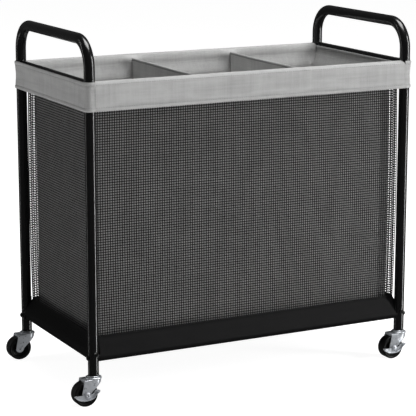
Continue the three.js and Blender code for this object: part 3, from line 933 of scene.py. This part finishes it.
def rail_cuff(face):
    section = cuff_section()
    half = face.half - CUFF_LAP - 0.3 * MM
    columns = 150
    corner = 5 * MM

    def point(i, j):
        out, z = section[round(i * (len(section) - 1))]
        along = -half + 2 * half * j
        rounded = max(0.0, abs(along) - (half - corner)) / corner
        high = max(0.0, z - (CUFF_HIGH - 10 * MM)) / (10 * MM)
        z -= (1 - math.sqrt(1 - min(0.98, rounded) ** 2)) * 2.5 * MM * high
        out += ripple((along, z, 0), 11.0, 0.7 * MM, face.reach + 11)
        out += ripple((along, z, 0), 60.0, 0.18 * MM, face.reach + 12)
        z += ripple((along, 0, 0), 16.0, 0.5 * MM, face.reach + 13)
        return face.at(along, out, z)

    sheet = cloth_grid(f"{face.name}_cuff_cloth", len(section), columns, point, CUFF)
    thicken(sheet, CLOTH, 0.0)
    settle(sheet, 60)
    finish_piece(sheet, replaces=[f"{face.name}_cuff"])
    run = sum(math.dist(a, b) for a, b in zip(section, section[1:]))
    for label, row in (("hem", 4), ("top", 12)):
        line = [point(row / (len(section) - 1), k / 120) for k in range(121)]
        line = [place + face.outward * CLOTH / 2 for place in line]
        name = f"{face.name}_cuff_{label}_stitches"
        stitches(name, line, [face.outward] * 121, THREAD)
    upper_bar(face)


def end_cuff_plan(radius):
    """The cuff's line round both posts, as (along, out, outward direction) in the face."""
    lap, half = CUFF_LAP, POST_Y
    stations = [(-half - radius, -lap, (-1, 0))]
    for post, start in ((-half, 180), (half, 90)):
        for k in range(13):
            angle = math.radians(start - 90 * k / 12)
            direction = (math.cos(angle), math.sin(angle))
            stations.append((post + radius * direction[0], radius * direction[1], direction))
        if post < 0:
            for k in range(1, 40):
                stations.append((-half + 2 * half * k / 40, radius, (0, 1)))
    stations.append((half + radius, -lap, (1, 0)))
    return stations


def end_cuff(face):
    plan = end_cuff_plan(CUFF_OUT - CLOTH / 2)
    height = CUFF_HIGH - CUFF_LOW - CLOTH
    hem = 0.7 * MM
    rows = [
        (0.0, -0.4 * MM),
        (0.7 * MM, hem * 0.8),
        (2 * MM, hem),
        (HEM - 1.8 * MM, hem),
        (HEM - 0.3 * MM, -0.5 * MM),
        (HEM + 1 * MM, -0.1 * MM),
        (HEM + 4 * MM, -0.3 * MM),
        (height * 0.4, -0.9 * MM),
        (height * 0.5, -1.0 * MM),
        (height * 0.6, -0.9 * MM),
        (height - HEM - 4 * MM, -0.2 * MM),
        (height - HEM - 1 * MM, 0.0),
        (height - HEM + 0.3 * MM, -0.5 * MM),
        (height - HEM + 1.8 * MM, hem),
        (height - 2 * MM, hem),
        (height - 0.7 * MM, hem * 0.8),
        (height, -0.4 * MM),
    ]

    def point(i, j):
        up, proud = rows[round(i * (len(rows) - 1))]
        along, out, direction = plan[round(j * (len(plan) - 1))]
        near_post = 1 - smooth((POST_Y - abs(along) - 5 * MM) / (40 * MM))
        proud = proud * (0.55 + 0.75 * near_post)
        proud += ripple((along, up, out), 14.0, 0.6 * MM, face.reach + 17) * (1 - 0.5 * near_post)
        z = CUFF_LOW + CLOTH / 2 + up + ripple((along, 0, 0), 18.0, 0.5 * MM, face.reach + 19)
        return face.at(along + direction[0] * proud, out + direction[1] * proud, z)

    sheet = cloth_grid(f"{face.name}_cuff_cloth", len(rows), len(plan), point, CUFF)
    thicken(sheet, CLOTH, 0.0)
    settle(sheet, 60)
    finish_piece(sheet, replaces=[f"{face.name}_cuff"])
    facing = [face.along * d[0] + face.outward * d[1] for _, _, d in plan]
    for label, row in (("hem", 4), ("top", 12)):
        line = [point(row / (len(rows) - 1), k / (len(plan) - 1)) for k in range(len(plan))]
        line = [place + way * CLOTH / 2 for place, way in zip(line, facing)]
        stitches(f"{face.name}_cuff_{label}_stitches", line, facing, THREAD)
    upper_bar(face)


for face in LONG_FACES:
    rail_cuff(face)
for face in END_FACES:
    end_cuff(face)

# ---- Dividers and base ----


def divider(side, x):
    """A hung sheet, sewn in at its ends, with a folded trim along its top edge."""
    half = size_of(f"{side}_divider").y / 2
    low, high = BASE_TOP + 0.5 * MM, DIVIDER_TOP
    trim = 6 * MM
    rows, columns = 50, 60

    def spread(z):
        """The lining it is sewn to leans outward near the top."""
        return (drape(LONG_FACES[0], min(z, WALL_TOP)) - LINING_OUT) * 0.55

    def sway(along, z):
        across = 1 - (along / half) ** 2
        soft = ripple((along, z * 0.5, x), 9.0, 2.0 * MM, 29 + x)
        return soft * across

    def point(i, j):
        z = low + (high - low) * i
        along = (-half + 2 * half * j) * (1 + spread(z) / half)
        sag = 0.8 * MM * (1 - (along / half) ** 2) * i
        return Vector((x + sway(along, z), MIDDLE.y + along, z - sag))

    # The divider cloth takes the lining linen's painted-lighter copy, the painted light standing in
    # for light falling on it.
    sheet = cloth_grid(f"{side}_divider_cloth", rows, columns, point, DIVIDER_PAINTED_LIGHTER)
    thicken(sheet, 1.6 * MM, 0.0)
    settle(sheet, 60)
    finish_piece(sheet, replaces=[f"{side}_divider"])

    rings = []
    for j in range(columns):
        along = (-half + 2 * half * j / (columns - 1)) * (1 + spread(high) / half)
        sag = 0.8 * MM * (1 - (along / half) ** 2)
        centre = Vector((x + sway(along, high - trim / 2), MIDDLE.y + along, high - sag))
        points = []
        for k in range(12):
            angle = 2 * math.pi * k / 12
            flat = Vector((math.cos(angle) * 1.7 * MM, 0, math.sin(angle) * trim / 2))
            points.append(centre + flat + Vector((0, 0, 0.3 * MM - trim / 2)))
        rings.append(points)
    edge = orient(sweep(f"{side}_divider_trim", rings, TRIM))
    finish_piece(edge)
    flat = (2 * half, high - low)


for side, x in zip(SIDES, DIVIDER_X):
    divider(side, x)


def bag_floor():
    low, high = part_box("bag_base")
    thickness = 3 * MM

    def point(i, j):
        x = low.x + (high.x - low.x) * j
        y = low.y + (high.y - low.y) * i
        inside = math.sin(math.pi * i) * math.sin(math.pi * j)
        sag = ripple((x, y, 0), 8.0, 1.0 * MM, 41) * inside
        return Vector((x, y, high.z - 0.3 * MM + min(0.0, sag)))

    sheet = cloth_grid("bag_floor", 30, 60, point, BAND)
    thicken(sheet, thickness)
    settle(sheet, 60)
    finish_piece(sheet, replaces=["bag_base"])


bag_floor()

# ---- Casters, each drawn about its own swivel axis with the wheel trailing to -X ----

AXLE_Z = centre_of("front_left_wheel").z
WHEEL_R = size_of("front_left_wheel").z / 2
HUB_HALF = size_of("front_left_wheel").y / 2
TREAD_HALF = HUB_HALF - 0.7 * MM
TRAIL = POSTS["front_left"].x - centre_of("front_left_wheel").x
FORK_HALF = 15 * MM
FORK_SHEET = 2 * MM
FORK_BACK = 25 * MM
ARM_X = -TRAIL - 2.2 * MM
ARM_HALF = 8.8 * MM
ARM_END = 7.8 * MM
HOOD_TOP = 55.5 * MM
HOOD_LIP = 51 * MM
CUP_R = 16.5 * MM
CUP_TOP = 58.5 * MM
LEVER_SHEET = 1.7 * MM
ACROSS = Vector((0, 1, 0))
AXLE = Vector((-TRAIL, 0, AXLE_Z))


def fork_plan(half, back):
    """Straight arms behind the stem, and round about it in front."""
    return [(-back, -half), *arc((0, 0), (half, half), -90, 90, 28), (-back, half)]


def fork_side():
    points = [(-FORK_BACK, HOOD_TOP)]
    points += arc((ARM_X, AXLE_Z), (ARM_HALF, ARM_END), 180, 360, 24)
    points += curve(points[-1], (0, 40 * MM), (FORK_HALF, HOOD_LIP), 14)
    points.append((FORK_HALF, HOOD_TOP))
    return points


def pressed(piece, width, segments, angle=50):
    """A solid with its edges rounded, ready to be cut or joined."""
    orient(piece)
    soften(piece, width, segments, angle)
    return settle(piece)


def fork():
    """A folded sheet: a hood over the wheel, two arms down to the axle, and a raised cup."""
    inner = FORK_HALF - FORK_SHEET
    reach = TRAIL + 13 * MM
    made = prism("fork", fork_plan(FORK_HALF, reach), 0, HOOD_TOP, "plan", ZINC)
    pressed(made, 1.8 * MM, 4)
    well = orient(prism("well", fork_plan(inner, 2 * reach), -MM, HOOD_LIP, "plan", ZINC))
    roof_plan = fork_plan(inner, FORK_BACK - FORK_SHEET)
    roof = prism("roof", roof_plan, 0, HOOD_TOP - FORK_SHEET, "plan", ZINC)
    side = orient(prism("side", fork_side(), -20 * MM, 20 * MM, "front", ZINC))
    boolean(made, well, "DIFFERENCE")
    boolean(made, orient(roof), "DIFFERENCE")
    boolean(made, side, "INTERSECT")
    rim, low = 2.2 * MM, HOOD_TOP - 1 * MM
    profile = [(0, low), (CUP_R, low), (CUP_R, CUP_TOP - rim)]
    profile += arc((CUP_R - rim, CUP_TOP - rim), (rim, rim), 0, 90, 6)[1:]
    profile += [(12.6 * MM, CUP_TOP), (12.2 * MM, CUP_TOP - 0.8 * MM)]
    profile += [(9.4 * MM, CUP_TOP - 0.8 * MM), (9 * MM, CUP_TOP), (0, CUP_TOP)]
    cup = turned("cup", profile, Vector(), UP, ZINC)
    boolean(made, orient(cup), "UNION")
    radius, reach_across = 3.4 * MM, 2 * FORK_HALF
    profile = [
        (0, -reach_across),
        (radius, -reach_across),
        (radius, reach_across),
        (0, reach_across),
    ]
    bore = turned("bore", profile, AXLE, ACROSS, ZINC)
    boolean(made, orient(bore), "DIFFERENCE")
    soften(made, 0.3 * MM, 2, 50)
    return settle(made)


def wheel():
    """A moulded wheel: hub, recessed web, and a broad tread with round shoulders."""
    shoulder = 2.6 * MM
    half = [(3.6, 12.5), (7.3, 12.5), (8, 11.9), (8.2, 6.4), (9, 5.7), (16, 5.5), (16.8, 6)]
    half += [(17.6, 11.3), (18.2, 11.8), (19.8, 11.8), (20.3, 11.5), (20.8, 11.8)]
    half = [(r * MM, y * MM) for r, y in half]
    half += arc((WHEEL_R - shoulder, TREAD_HALF - shoulder), (shoulder, shoulder), 90, 0, 9)[1:]
    half.append((WHEEL_R, 2 * MM))
    mirrored = [(r, -y) for r, y in half]
    profile = [*mirrored, *reversed(half), mirrored[0]]
    return orient(turned("wheel", profile, AXLE, ACROSS, WHEEL, 96))


def rivet(braked):
    """The axle, spread into a dished head at the front and a flush one at the back."""
    back = 15.3 * MM
    front = back + 2 * MM if braked else back
    head_r, head = (5.2 * MM, 2.2 * MM) if braked else (4.2 * MM, 1 * MM)
    profile = [(0, -front - head * 0.35), (head_r * 0.3, -front - head * 0.4)]
    profile += [(head_r * 0.42, -front - head), (head_r * 0.7, -front - head)]
    profile += [(head_r * 0.9, -front - head * 0.75), (head_r, -front - head * 0.3)]
    profile += [(head_r, -front), (3.2 * MM, -front), (3.2 * MM, back), (4.2 * MM, back)]
    profile += [(4 * MM, back + 0.7 * MM), (3.2 * MM, back + 1 * MM), (0, back + 1 * MM)]
    return orient(turned("rivet", profile, AXLE, ACROSS, ZINC, 48))


def stem():
    head = HOOD_TOP - FORK_SHEET - 0.3 * MM
    race = CUP_TOP + 0.3 * MM
    profile = [(0, head - 3 * MM), (6 * MM, head - 3 * MM), (7 * MM, head - 2 * MM), (7 * MM, head)]
    profile += [(4 * MM, head), (4 * MM, race), (11.7 * MM, race), (12 * MM, race + 0.4 * MM)]
    profile += [(12 * MM, race + 1.2 * MM), (11.4 * MM, race + 1.7 * MM), (4 * MM, race + 1.7 * MM)]
    profile += [(4 * MM, 87 * MM), (3 * MM, 89 * MM), (0, 89 * MM)]
    return orient(turned("stem", profile, Vector(), UP, ZINC, 48))


def socket():
    low, high = LEG_BOTTOM - 2 * MM, LEG_BOTTOM - 0.3 * MM
    bore, body = 4.3 * MM, TUBE_R - 1.8 * MM
    profile = [(bore, low), (TUBE_R - 0.4 * MM, low), (TUBE_R, low + 0.4 * MM), (TUBE_R, high)]
    profile += [(body, high), (body, 91 * MM), (bore, 91 * MM), (bore, low)]
    return orient(turned("socket", profile, Vector(), UP, PLASTIC, 64))


def lever_outline():
    tip, tab_x, tab_z = (-29 * MM, 1.5 * MM), 25 * MM, 9 * MM
    keel, boss = -10.5 * MM, 6.5 * MM
    points = [tip]
    points += curve(tip, (-22 * MM, keel), (-4 * MM, keel), 12)
    points += curve((-4 * MM, keel), (14 * MM, keel), (17.5 * MM, -MM), 12)
    points += [(tab_x, tab_z / 2), (tab_x, tab_z), (17.5 * MM, tab_z)]
    points += curve((17.5 * MM, tab_z), (14 * MM, MM), (boss, MM), 8)
    points += arc((0, 0), (boss, boss), 8.6, 171.4, 20)[1:]
    points += curve(points[-1], (-14 * MM, 0), tip, 8)[:-1]
    return points


def lever():
    """A rocker of pressed sheet: its lower edge and both foot tabs turned out."""
    root = -15.3 * MM
    outline = [(AXLE.x + x, AXLE.z + z) for x, z in lever_outline()]
    raised = [(x, z + LEVER_SHEET) for x, z in outline]
    made = orient(prism("lever", outline, root - 5.5 * MM, root, "front", ZINC))
    pocket = orient(prism("pocket", raised, root - 9 * MM, root - LEVER_SHEET, "front", ZINC))
    boolean(made, pocket, "DIFFERENCE")
    for low_x, high_x, top in ((17.5, 25, 9), (-28.7, -23, 1.2)):
        corners = [(low_x, top - 1.7), (high_x, top - 1.7), (high_x, top), (low_x, top)]
        corners = [(AXLE.x + x * MM, AXLE.z + z * MM) for x, z in corners]
        tab = orient(prism("tab", corners, root - 9 * MM, root - 0.5 * MM, "front", ZINC))
        boolean(made, tab, "UNION")
    soften(made, 0.45 * MM, 3, 40)
    settle(made)
    top = root - LEVER_SHEET
    profile = [(5.4 * MM, top + MM), (5.4 * MM, top - 0.5 * MM), (5.9 * MM, top - 0.9 * MM)]
    profile += [(6.3 * MM, top - 0.6 * MM), (6.5 * MM, top + MM), (5.4 * MM, top + MM)]
    boss = [(r, y) for r, y in profile]
    return boolean(made, orient(turned("boss", boss, AXLE, ACROSS, ZINC, 48)), "UNION")


def placed(template, name, post, body, node):
    """A copy of a part drawn about the swivel axis, moved to its post."""
    mesh = template.data.copy()
    mesh.transform(Matrix.Translation(Vector((post.x, post.y, 0))))
    piece = bpy.data.objects.new(name, mesh)
    bpy.context.scene.collection.objects.link(piece)
    return finish_piece(piece, body, [node])


def build_casters():
    zinc, plastic = "zinc_plate", "black_plastic"
    templates = {"fork": fork(), "wheel": wheel(), "stem": stem(), "socket": socket()}
    templates.update({"lever": lever(), "braked": rivet(True), "plain": rivet(False)})
    for corner, post in POSTS.items():
        turning = f"{corner}_caster"
        braked = corner.startswith("front")
        for part, slot in (("fork", zinc), ("stem", zinc), ("socket", plastic)):
            body = turning if part == "fork" else "frame"
            node = f"{corner}_caster_{part}"
            placed(templates[part], f"{corner}_{part}", post, body, node)
        name = f"{corner}_tyre"
        spin = f"{corner}_wheel"
        placed(templates["wheel"], name, post, spin, spin)
        head = templates["braked" if braked else "plain"]
        placed(head, f"{corner}_axle", post, turning, f"{corner}_axle_rivet")
        if braked:
            brake = f"{corner}_brake"
            placed(templates["lever"], f"{brake}_rocker", post, brake, f"{brake}_lever")
    for template in templates.values():
        bpy.data.objects.remove(template)


build_casters()

for name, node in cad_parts.items():
    if name.endswith("screw"):
        node.data.materials.clear()
        node.data.materials.append(PAINT)
        soften(node, 0.3 * MM, 3)

# ---- Floor, lights and camera ----


def studio():
    bpy.ops.mesh.primitive_plane_add(size=60)
    floor = bpy.context.object
    floor.name = "studio_floor"
    material, shader = new_material("pale_floor", (0.4, 0.4, 0.4), 0.9)
    shader.inputs["Emission Color"].default_value = (1, 1, 1, 1)
    shader.inputs["Emission Strength"].default_value = 0.94
    floor.data.materials.append(material)
    floor.visible_glossy = False

    world = bpy.data.worlds.new("studio")
    bpy.context.scene.world = world
    world.use_nodes = True
    world.node_tree.nodes["Background"].inputs["Color"].default_value = (1, 1, 1, 1)
    world.node_tree.nodes["Background"].inputs["Strength"].default_value = 0.07

    def softbox(name, azimuth, distance, z, size, energy, aim_z=0.35):
        light = bpy.data.lights.new(name, "AREA")
        light.shape = "RECTANGLE"
        light.size, light.size_y = size
        light.energy = energy
        lamp = bpy.data.objects.new(name, light)
        bpy.context.scene.collection.objects.link(lamp)
        angle = math.radians(azimuth)
        place = MIDDLE + Vector((math.cos(angle), math.sin(angle), 0)) * distance
        place.z = z
        lamp.location = place
        aim = Vector((MIDDLE.x, MIDDLE.y, aim_z)) - place
        lamp.rotation_euler = aim.to_track_quat("-Z", "Y").to_euler()

    softbox("overhead", -30, 0.6, 3.2, (1.8, 1.8), 131)
    softbox("key_strip", -38, 4.0, 0.7, (0.45, 4.4), 215, 0.7)
    softbox("left_rim", 150, 3.0, 0.7, (0.22, 4.0), 14, 0.7)


def photo_camera():
    data = bpy.data.cameras.new("camera")
    data.lens = 151.98
    data.sensor_width = 36
    camera = bpy.data.objects.new("camera", data)
    bpy.context.scene.collection.objects.link(camera)
    camera.location = MIDDLE + Vector((-1.7029, -3.2943, 1.125))
    target = MIDDLE + Vector((-0.0121, 0, 0.3348))
    camera.rotation_euler = (target - camera.location).to_track_quat("-Z", "Y").to_euler()
    bpy.context.scene.camera = camera


studio()
photo_camera()
bpy.context.scene.view_settings.view_transform = "Standard"
